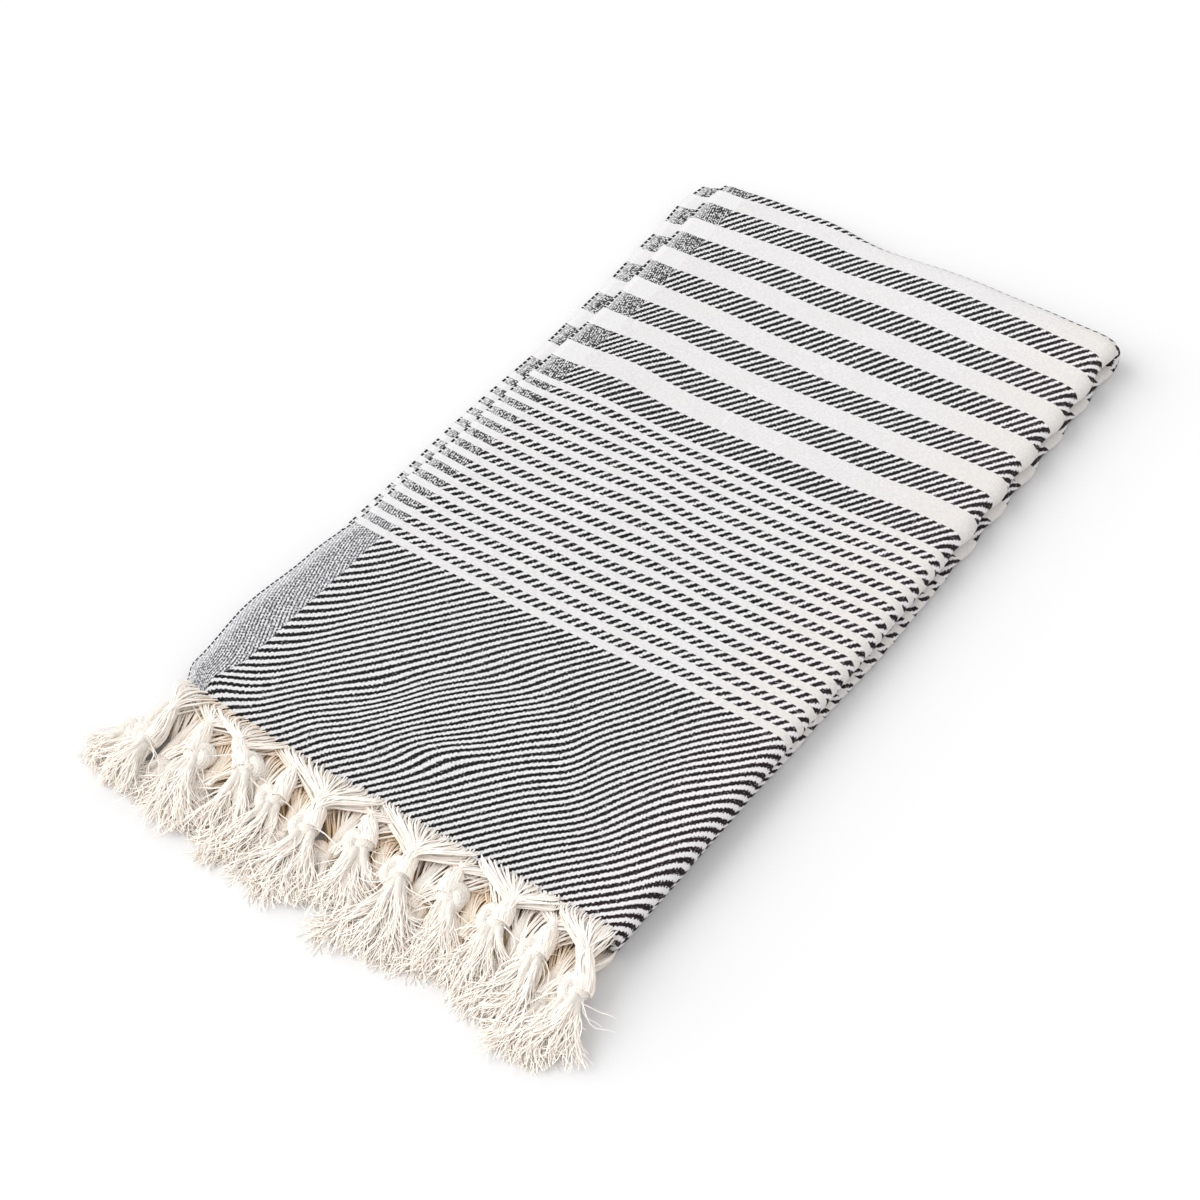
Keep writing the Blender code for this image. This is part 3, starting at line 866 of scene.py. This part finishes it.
def build_tuft(tassel, level, root, axis, side, chance):
    """Loose yarns below the knot, in locks with a soft core each.

    A lock leaves the knot's mouth at its own place, turns to its heading in the fan of the tuft
    and then curls by a power of the way. Its yarns curl by amounts and waves of their own, turn
    once round the lock at a distance that grows along the way, and droop to the tip height.
    """
    way = np.linspace(0.0, 1.0, TUFT_YARN_STEPS)[None, None, :]
    locks = (TUFT_LOCKS, 1, 1)
    yarns = (TUFT_LOCKS, LOCK_YARNS, 1)
    rank = ((np.arange(TUFT_LOCKS) + 0.5) / TUFT_LOCKS)[:, None, None]
    place = np.sin((rank - 0.5) * np.pi * LOCK_SPREAD) + chance.normal(0.0, LOCK_SCATTER, locks)
    layer = chance.permutation(np.linspace(-1.0, 1.0, TUFT_LOCKS))[:, None, None]
    trimmed = tassel.length * (1 - chance.uniform(0.0, level.trim))
    lock_length = trimmed * (1 - SIDE_TRIM * place ** 2) * chance.uniform(*LOCK_LENGTHS, locks)
    length = lock_length * chance.uniform(*YARN_LENGTHS, yarns)
    curl = chance.normal(0.0, TUFT_CURL) + chance.normal(0.0, LOCK_CURL, locks)
    heading = TUFT_FAN * place * ease(way * 2.5) + curl * way ** CURL_POWER
    heading = heading + way * waves(chance, locks, way, LOCK_WAVE, LOCK_BEATS)
    frizz = chance.normal(0.0, YARN_CURL, yarns) * way ** FRIZZ_POWER
    frizz = frizz + ease(way * 1.6) * waves(chance, yarns, way, YARN_WAVE, YARN_BEATS)
    ahead, aside = walked_line(heading + frizz, length)
    core_ahead, core_aside = walked_line(heading, lock_length * CORE_LENGTH)
    mouth = place * ROPE_RADIUS * MOUTH_SHARE
    turn = FULL_TURN * (chance.uniform(0.0, 1.0, yarns) + chance.uniform(*LOCK_TURNS, locks) * way)
    far = np.sqrt(chance.uniform(0.0, 1.0, yarns))
    around = far * (LOCK_RADIUS * ease(way * 3 + 0.25) + LOCK_FLARE * way ** 2)
    aside = mouth + aside + around * np.cos(turn)
    round_edge = np.sqrt(np.clip(1 - (place / TUFT_BREADTH) ** 2, TUFT_EDGE, 1.0))
    thick = TUFT_THICKNESS * (0.7 + 0.6 * np.sin(np.pi * way)) * (1 - TUFT_TAPER * way)
    lock_wave = waves(chance, locks, way, LOCK_LIFT, LIFT_BEATS)
    lock_lift = layer * thick * round_edge + way * MM * lock_wave
    lift = lock_lift + around * np.sin(turn) * (1 - 0.3 * way)
    lift = lift + way * MM * waves(chance, yarns, way, YARN_LIFT, YARN_BEATS)
    height = level.tip_height + (root[2] - level.tip_height) * (1 - way ** level.droop)
    path = root + axis * ahead[..., None] + side * aside[..., None]
    path[..., 2] = np.maximum(height + lift, TUFT_YARN_RADIUS)
    core = root + axis * core_ahead[..., None] + side * (mouth + core_aside)[..., None]
    core[..., 2] = np.maximum(height + lock_lift, CORE_RADIUS)
    return path.reshape(TUFT_LOCKS * LOCK_YARNS, TUFT_YARN_STEPS, 3), core[:, 0]


def build_strays(tassel, root, axis, side, chance):
    """Stray yarns that leave the knot and wander over the tuft by wide slow curls."""
    way = np.linspace(0.0, 1.0, TUFT_YARN_STEPS)[None, :]
    strays = (STRAY_YARNS, 1)
    heading = chance.normal(0.0, STRAY_SPREAD, strays)
    heading = heading + chance.normal(0.0, STRAY_CURL, strays) * way
    heading = heading + waves(chance, strays, way, STRAY_WAVE, STRAY_BEATS)
    ahead, aside = walked_line(heading, tassel.length * chance.uniform(*STRAY_LENGTHS, strays))
    rise = KNOT_ROPE_RADIUS * chance.uniform(*STRAY_RISE, strays) * (1 - way)
    rise = rise + STRAY_REACH * np.abs(waves(chance, strays, way, 1.0, RISE_BEATS)) * way
    path = root + axis * (ahead - KNOT_LOOP)[..., None] + side * aside[..., None]
    sink = (root[2] - TUFT_THICKNESS) * way ** CURL_POWER
    path[..., 2] = np.maximum(root[2] + rise - sink, TUFT_YARN_RADIUS)
    return path


def build_tassel(name, stands_for, tassel, materials, seed):
    """One tassel: a fan of yarns gathered into a rope, an overhand knot and a loose tuft."""
    chance = np.random.default_rng(seed)
    level = LEVELS[tassel.ply]
    ends = (tassel.knot_x - FOLDED_WIDTH / 2, tassel.knot_y - FOLDED_LENGTH / 2)
    knot = np.array((*ends, level.knot_height))
    axis = np.array((math.sin(tassel.lean), -math.cos(tassel.lean), 0.0))
    side = np.array((-axis[1], axis[0], 0.0))
    hand = chance.choice((-1.0, 1.0))
    middle = edge_points(tassel.ply, np.array([tassel.fan_x - FOLDED_WIDTH / 2]))[0]
    toward = unit(knot - middle)
    reach = np.linalg.norm(knot - middle)
    slant = chance.uniform(-KNOT_SLANT, KNOT_SLANT)
    knot_axis = axis * math.cos(slant) + side * math.sin(slant)
    knot_side = side * math.cos(slant) - axis * math.sin(slant)
    coil = knot_path(knot, knot_axis, knot_side, hand)
    bend = side * chance.uniform(-ROPE_BEND, ROPE_BEND) * reach
    lead = middle + np.array((0.0, -LEAD_OUT * reach, LEAD_UP * reach)) + bend
    enter = coil[0] - axis * ENTER_BACK * reach - toward * ENTER_TOWARD * reach
    rope = curve_through(middle, lead, enter, coil[0], ROPE_STEPS)
    tail_way = np.linspace(TAIL_START, 1.0, TAIL_STEPS)[:, None]
    tail_end = knot + axis * (KNOT_LOOP + KNOT_WEAVE + TAIL_LENGTH)
    tail = coil[-1] + (tail_end - coil[-1]) * tail_way
    whole = smoothed(np.concatenate([rope, coil[1:], tail]), 2)
    way = np.arange(len(whole))
    gather = ease(way / (GATHER_SHARE * ROPE_STEPS))
    squeeze = ease((way - ROPE_STEPS + SQUEEZE_LEAD) / SQUEEZE_STEPS)
    gathered = ROPE_RADIUS * (GATHER_LEAST + GATHER_GROWTH * gather)
    radius = gathered * (1 - squeeze) + KNOT_ROPE_RADIUS * squeeze
    radius = radius * (1 - TAIL_TAPER * ease((way - len(whole) + TAIL_STEPS) / TAIL_STEPS))
    whole[:, 2] = np.maximum(whole[:, 2], radius)
    tone = chance.uniform(0, 1, 1)
    smooth = [tubes(whole[None], radius[None], ROPE_SIDES, tone, lobes=ROPE_LOBES)]

    fan = build_fan(tassel, rope, chance)
    tones = chance.uniform(0, 1, len(fan))
    radii = np.full(fan.shape[:2], FAN_YARN_RADIUS)
    rolls = -QUARTER_TURN + chance.normal(0.0, YARN_ROLL, len(fan))
    yarns = [tubes(fan, radii, YARN_SIDES, tones, rolls)]

    root = knot + axis * (KNOT_LOOP + KNOT_MOUTH)
    tuft, cores = build_tuft(tassel, level, root, axis, side, chance)
    way = np.linspace(0, 1, TUFT_YARN_STEPS)[None, :]
    radii = CORE_RADIUS * (1 - CORE_TAPER * way ** 1.5) * np.ones((len(cores), 1))
    smooth.append(tubes(cores, radii, CORE_SIDES, None, lobes=CORE_LOBES))
    tuft = np.concatenate([tuft, build_strays(tassel, root, axis, side, chance)])
    tones = chance.uniform(0, 1, len(tuft))
    thin = 1 - YARN_TAPER * way
    radii = TUFT_YARN_RADIUS * thin * chance.uniform(*YARN_RADII, (len(tuft), 1))
    rolls = -QUARTER_TURN + chance.normal(0.0, YARN_ROLL, len(tuft))
    yarns.append(tubes(tuft, radii, YARN_SIDES, tones, rolls))

    points, faces, corners, slots = [], [], [], []
    for slot, parts in enumerate((smooth, yarns)):
        for part_points, part_faces, part_corners in parts:
            first = sum(map(len, points))
            points.append(part_points)
            faces += [face + first for face in part_faces]
            corners += part_corners
            slots += [np.full(len(face), slot) for face in part_faces]
    uvs = {"yarn": corners}
    mesh = build_mesh(name, np.concatenate(points), faces, uvs, np.concatenate(slots))
    return add_piece(name, mesh, materials, stands_for)


class Number:
    """A node's output, whose sums, differences, products and quotients are Math nodes."""

    def __init__(self, made, socket):
        self.made = made
        self.socket = socket

    def __add__(self, other):
        return self.made.math("ADD", self, other)

    def __sub__(self, other):
        return self.made.math("SUBTRACT", self, other)

    def __rsub__(self, other):
        return self.made.math("SUBTRACT", other, self)

    def __mul__(self, other):
        return self.made.math("MULTIPLY", self, other)

    def __truediv__(self, other):
        return self.made.math("DIVIDE", self, other)


class Tree:
    """Short calls that place and link the nodes of one tree."""

    def __init__(self, tree):
        self.tree = tree

    def node(self, kind, **settings):
        made = self.tree.nodes.new(kind)
        for name, value in settings.items():
            setattr(made, name, value)
        return made

    def put(self, socket, value):
        if isinstance(value, Number):
            value = value.socket
        if isinstance(value, bpy.types.NodeSocket):
            self.tree.links.new(value, socket)
        else:
            socket.default_value = value

    def fill(self, node, **inputs):
        """Put values into a node's inputs, named with _ for a space, and give what comes out."""
        for name, value in inputs.items():
            self.put(node.inputs[name.replace("_", " ")], value)
        return [Number(self, socket) for socket in node.outputs]

    def math(self, operation, *values, clamp=False):
        made = self.node("ShaderNodeMath", operation=operation, use_clamp=clamp)
        for socket, value in zip(made.inputs, values):
            self.put(socket, value)
        return Number(self, made.outputs[0])

    def step(self, value, low, high):
        """0 below low, 1 above high, smooth between."""
        made = self.node("ShaderNodeMapRange", interpolation_type="SMOOTHSTEP")
        return self.fill(made, Value=value, From_Min=low, From_Max=high)[0]

    def mix(self, factor, first, second):
        made = self.node("ShaderNodeMix", data_type="RGBA")
        self.put(made.inputs["Factor"], factor)
        self.put(made.inputs[6], first)
        self.put(made.inputs[7], second)
        return made.outputs[2]

    def noise(self, vector, scale, detail=2.0, roughness=0.5):
        made = self.node("ShaderNodeTexNoise")
        return self.fill(made, Vector=vector, Scale=scale, Detail=detail, Roughness=roughness)[0]

    def bump(self, strength, distance, height):
        made = self.node("ShaderNodeBump")
        return self.fill(made, Strength=strength, Distance=distance, Height=height)[0]

    def parts(self, vector):
        """The numbers X, Y and Z of a vector."""
        return self.fill(self.node("ShaderNodeSeparateXYZ"), Vector=vector)

    def place(self):
        """Where a point lies on the object."""
        return self.node("ShaderNodeTexCoord").outputs["Object"]

    def map_place(self, label):
        """The two numbers of a UV map."""
        return self.parts(self.node("ShaderNodeUVMap", uv_map=label).outputs["UV"])[:2]

    def group(self, tree, **values):
        """What a node group puts out for its named inputs."""
        return self.fill(self.node("ShaderNodeGroup", node_tree=tree), **values)


def new_group(name, inputs, outputs):
    """An empty node group with named number sockets, the numbers that come in, and its last
    node, which takes what it puts out."""
    tree = bpy.data.node_groups.new(name, "ShaderNodeTree")
    for label in inputs.split():
        kind = "NodeSocketVector" if label == "Point" else "NodeSocketFloat"
        tree.interface.new_socket(name=label, in_out="INPUT", socket_type=kind)
    for label in outputs.split():
        tree.interface.new_socket(name=label, in_out="OUTPUT", socket_type="NodeSocketFloat")
    made = Tree(tree)
    source = made.node("NodeGroupInput")
    taken = [Number(made, source.outputs[label]) for label in inputs.split()]
    return made, taken, made.node("NodeGroupOutput")


def stripes_group():
    """White stripes of the weft by distance from the nearer fringed end, 1 on white."""
    made, [along], sink = new_group("weft_stripes", "Along", "White")
    place = made.math("MINIMUM", along, FLAT_LENGTH - along)

    def band(start, pitch, white):
        way = made.math("FRACT", (place - start) / pitch)
        edge = STRIPE_BLUR * NARROW_PITCH / pitch
        return made.step(way, 0.0, edge) * (1.0 - made.step(way, white - edge, white))

    in_narrow = made.math("GREATER_THAN", place, NARROW_START)
    in_wide = made.math("GREATER_THAN", place, NARROW_END)
    narrow = band(NARROW_START, NARROW_PITCH, NARROW_WHITE) * (in_narrow - in_wide)
    wide = band(WIDE_START, WIDE_PITCH, WIDE_WHITE) * in_wide
    made.fill(sink, White=narrow + wide)
    return made.tree


def twill_group():
    """Dark weft of a steep twill by warp ends and picks, 1 where the weft shows, and relief."""
    inputs = "Ends Picks Rough Dense"
    made, [ends, picks, rough, dense], sink = new_group("twill", inputs, "Weft Relief")
    stepped = (made.math("FLOOR", ends) + 0.5) * TWILL_STEP + ends * (1.0 - TWILL_STEP)
    phase = made.math("FRACT", (picks - stepped) / float(TWILL_ENDS))
    away = made.math("ABSOLUTE", phase - 0.5)
    away = away + (rough - 0.5) * TWILL_ROUGH - dense * TWILL_BOLDER
    weft = 1.0 - made.step(away, TWILL_DARK - TWILL_BLUR, TWILL_DARK + TWILL_BLUR)
    across = made.math("FRACT", ends) - 0.5
    crown = 1.0 - across * across * TWILL_CROWN
    made.fill(sink, Weft=weft, Relief=(1.0 - weft * TWILL_SINK) * crown)
    return made.tree


def plain_group():
    """Plain weave whose weft shows in slanting rows, broken where a faster count of picks falls
    between two: 1 where the weft shows, and relief across each row."""
    made, [ends, picks], sink = new_group("plain_weave", "Ends Picks", "Weft Relief")
    way = ends * HATCH_ENDS + picks * HATCH_PICKS
    away = made.math("ABSOLUTE", made.math("FRACT", way) - 0.5)
    row = 1.0 - made.step(away, HATCH_DARK - HATCH_BLUR, HATCH_DARK + HATCH_BLUR)
    turned = picks * CROSS_PICKS + made.math("FLOOR", way) * 0.5
    between = made.math("GREATER_THAN", made.math("FRACT", turned), CROSS_START)
    made.fill(sink, Weft=row * (1.0 - between * CROSS_LIGHT), Relief=away * 2.0)
    return made.tree


def selvedge_group():
    """Masks by the distance from the nearer selvedge: 1 on its plain weave, how much of that
    weave is dark, 1 on the dotted line of turned weft at the edge, and 1 where the weft lies
    denser past the plain end, which also widens that line."""
    outputs = "Plain Dark Dots Dense"
    made, [edge, picks, along], sink = new_group("selvedge", "Edge Picks Along", outputs)
    plain = 1.0 - made.step(edge, SELVEDGE_WIDTH - SELVEDGE_BLUR, SELVEDGE_WIDTH)
    dense = made.step(along, DENSE_START, DENSE_END)
    past_line = edge - (dense * DOTS_GROWTH + DOTS_END)
    inward = made.step(edge, EDGE_DARK_START, EDGE_DARK_END) * (1.0 - EDGE_DARK)
    dark = (inward + EDGE_DARK) * made.step(past_line, 0.0, EDGE_GAP)
    line = 1.0 - made.step(past_line, 0.0, DOTS_BLUR)
    dots = line * made.math("LESS_THAN", made.math("FRACT", picks * 0.5), DOTS_SHARE)
    made.fill(sink, Plain=plain, Dark=dark, Dots=dots, Dense=dense)
    return made.tree


def new_material(name, roughness, sheen, specular=0.15):
    """A Principled material with a uniform roughness, sheen and gloss, and its tree."""
    material = bpy.data.materials.new(name)
    material.use_nodes = True
    made = Tree(material.node_tree)
    shader = material.node_tree.nodes["Principled BSDF"]
    made.fill(shader, Roughness=roughness, Specular_IOR_Level=specular)
    made.fill(shader, Sheen_Weight=sheen, Sheen_Roughness=0.6)
    return material, made, shader


def cotton_material(flat_width):
    """Striped cotton: dark weft in twill between white stripes, plain weave at the selvedges.

    The dark mask is the twill's, or the plain weave's at the selvedges, taken out on the white
    stripes and on the last few millimetres before the fringe, where each warp end runs out of
    weft at its own place. Specks of fuzz lighten the dark, and grain greys the white. Towards
    the side roll the white turns creamy, the pale warp pink and the dark weft brown, and the
    pale warp of the selvedges is a little blue at the plain end.
    """
    material, made, shader = new_material("striped_cotton", 0.9, 0.02)
    width, along = made.map_place("place")
    ends, picks = [count / THREAD_UNIT for count in made.map_place("threads")]
    point = made.place()
    fuzz = made.noise(point, FUZZ_SCALE, 2.0, 0.7)
    patch = made.noise(point, PATCH_SCALE)
    grain = made.step(made.noise(point, GRAIN_SCALE, 1.0), *GRAIN_RANGE)
    from_edge = made.math("MINIMUM", width, flat_width - width)
    from_end = made.math("MINIMUM", along, FLAT_LENGTH - along)
    threads = {"Ends": ends, "Picks": picks}
    [white] = made.group(stripes_group(), Along=along)
    plain_weft, plain_relief = made.group(plain_group(), **threads)
    selvedge = made.group(selvedge_group(), Edge=from_edge, Picks=picks, Along=from_end)
    on_selvedge, dark_share, dots, dense = selvedge
    twill_weft, twill_relief = made.group(twill_group(), Rough=fuzz, Dense=dense, **threads)
    off_selvedge = 1.0 - on_selvedge
    off_white = 1.0 - white

    rows = plain_weft * (ROWS_NEAR - dense * ROWS_FADE)
    specks = grain * (dense * SPECKS_GROWTH + SPECKS_NEAR)
    plain_dark = made.math("ADD", rows + specks, dense * DENSER - OPENNESS, clamp=True)
    plain_dark = made.math("MAXIMUM", plain_dark * dark_share, dots)
    dark = (twill_weft * off_selvedge + plain_dark * on_selvedge) * off_white
    run_out = made.node("ShaderNodeTexWhiteNoise", noise_dimensions="1D")
    run_out = made.fill(run_out, W=made.math("FLOOR", ends))[0]
    dark = dark * made.step(from_end - run_out * FRAY, 0.0, FRAY_BLUR)
    dark = dark * (1.0 - made.step(fuzz, *SPECK_RANGE) * SPECK_LIGHT)

    light = made.mix(patch, WARP_LIGHT, WARP_PATCH)
    lit = made.step(fuzz, *SHADE_RANGE) * off_white
    light = made.mix((1.0 - lit) * SHADE_SHARE, light, WARP_SHADE)
    bleached = made.mix(patch, WHITE_LIGHT, WHITE_PATCH)
    at_roll = made.step(made.parts(point)[0], TINT_START, TINT_END) * TINT_SHARE
    bleached = made.mix(at_roll, bleached, WHITE_CREAM)
    bleached = made.mix(grain * GRAIN_SHARE, bleached, WHITE_GRAIN)
    bleached = made.mix(on_selvedge * SELVEDGE_SHARE, bleached, WHITE_SELVEDGE)
    light = made.mix(at_roll, light, WARP_PINK)
    light = made.mix(on_selvedge * (1.0 - dense) * SELVEDGE_SHARE, light, WARP_BLUE)
    weft = made.mix(at_roll, WEFT_BLACK, WEFT_BROWN)
    colour = made.mix(dark, made.mix(white, light, bleached), weft)

    relief = twill_relief * off_selvedge + plain_relief * (on_selvedge * PLAIN_RELIEF)
    height = relief * (1.0 - white * WHITE_FLATTEN) + fuzz * FUZZ_RELIEF
    made.fill(shader, Base_Color=colour, Normal=made.bump(0.5, 0.3 * MM, height))
    return material


def yarn_group():
    """Tone of undyed cotton by a yarn's own number and soft blotches, from 0 warm to 1 pale, and
    where shade is painted: 1 low down between the cloth's edge and the knots, away from the two
    sides, where the fringe's gaps lie in shade."""
    made, [tone, point], sink = new_group("yarn_tone_and_painted_shade", "Tone Point", "Pale Raw")
    blotch = made.noise(point, BLOTCH_SCALE)
    fibre = made.noise(point, FIBRE_SCALE, 2.0, 0.6)
    pale = tone * TONE_SHARE + blotch * BLOTCH_SHARE
    pale = made.math("ADD", pale, fibre * FIBRE_SHARE, clamp=True)
    x, y, z = made.parts(point)
    low = 1.0 - made.step(z, GAP_SHADE_LOW, GAP_SHADE_HIGH)
    near = made.step(y, GAP_SHADE_FAR, GAP_SHADE_NEAR)
    inner = 1.0 - made.step(made.math("ABSOLUTE", x), GAP_SHADE_MIDDLE, GAP_SHADE_SIDE)
    made.fill(sink, Pale=pale, Raw=low * near * inner)
    return made.tree


def warp_materials():
    """Undyed cotton for gathered ropes, with the yarns' lay as fine ridges whose grooves are painted
    warmer and darker as shade, and for yarns; both also get the painted ochre shade low in the
    fringe's gaps.
    """
    tone_tree = yarn_group()
    made_materials = []
    for name, warm, clear in WARP_COTTONS:
        material, made, shader = new_material(name, 0.85, 0.5)
        tone, walked = made.map_place("yarn")
        point = made.place()
        height = made.noise(point, BRISTLE_SCALE, 2.0, 0.6)
        if name == "cream_rope":
            # Painted shade: on ropes the tone follows the lay, so the grooves between strands, where
            # the bump is low, are painted warmer and darker.
            lay = tone * LAY_ROUND + walked * LAY_ALONG
            tone = made.math("ABSOLUTE", made.math("SINE", lay * math.pi))
            height = tone + height * BRISTLE_SHARE
        pale, gap_shade = made.group(tone_tree, Tone=tone, Point=point)
        # Painted shade: where that mask is 1 the colour turns to a warm ochre that stands for the
        # shade in the fringe's gaps.
        colour = made.mix(gap_shade, made.mix(pale, warm, clear), GAP_SHADE_COLOUR)
        made.fill(shader, Base_Color=colour, Normal=made.bump(0.6, 0.25 * MM, height))
        made_materials.append(material)
    return made_materials


def build_floor():
    """A plain pale floor."""
    bpy.ops.mesh.primitive_plane_add(size=8.0, location=(0.0, 0.0, -0.1 * MM))
    floor = bpy.context.object
    floor.name = "floor"
    material, made, shader = new_material("pale_floor", 0.9, 0.0, 0.0)
    made.fill(shader, Base_Color=FLOOR_COLOUR)
    floor.data.materials.append(material)


def build_light():
    """Soft studio light: a bright surround, and a broad key from the left."""
    world = bpy.data.worlds.new("surround")
    world.use_nodes = True
    made = Tree(world.node_tree)
    made.fill(made.tree.nodes["Background"], Color=(1.0, 1.0, 1.0, 1.0), Strength=SURROUND)
    bpy.context.scene.world = world
    lamp = bpy.data.lights.new("key", "SUN")
    lamp.energy = KEY_STRENGTH
    lamp.angle = KEY_BREADTH
    holder = new_object("key", lamp)
    holder.rotation_euler = (-Vector(KEY_FROM)).to_track_quat("-Z", "Y").to_euler()
    bpy.context.scene.view_settings.view_transform = "Standard"


def build_camera():
    """The camera at the angle from which the towel was seen."""
    camera = bpy.data.cameras.new("camera")
    camera.sensor_width = SENSOR_WIDTH
    camera.lens = FOCAL_PIXELS / PHOTO_PIXELS * SENSOR_WIDTH
    camera.clip_start = 0.05
    holder = new_object("camera", camera)
    holder.location = CAMERA_PLACE
    level = math.cos(CAMERA_ELEVATION)
    aside = math.sin(CAMERA_AZIMUTH) * level
    ahead = math.cos(CAMERA_AZIMUTH) * level
    aim = Vector((aside, ahead, -math.sin(CAMERA_ELEVATION)))
    holder.rotation_euler = aim.to_track_quat("-Z", "Y").to_euler()
    bpy.context.scene.camera = holder


def clear_default_scene():
    """Remove what an empty file may hold besides the towel's solids."""
    for item in list(bpy.data.objects):
        if item.type in ("CAMERA", "LIGHT") or item.name == "Cube":
            bpy.data.objects.remove(item, do_unlink=True)


def main():
    """Dress the towel, then set its stage."""
    clear_default_scene()
    build_camera()
    build_light()
    build_floor()
    cloth, flat_width = build_cloth()
    cloth.data.materials.append(cotton_material(flat_width))
    ropes = warp_materials()
    counts = {}
    for seed, tassel in enumerate(TASSELS):
        counts[tassel.ply] = counts.get(tassel.ply, 0) + 1
        label = f"{tassel.ply}_{counts[tassel.ply]}"
        build_tassel(f"fringe_{label}", f"tassel_{label}", tassel, ropes, seed)


main()
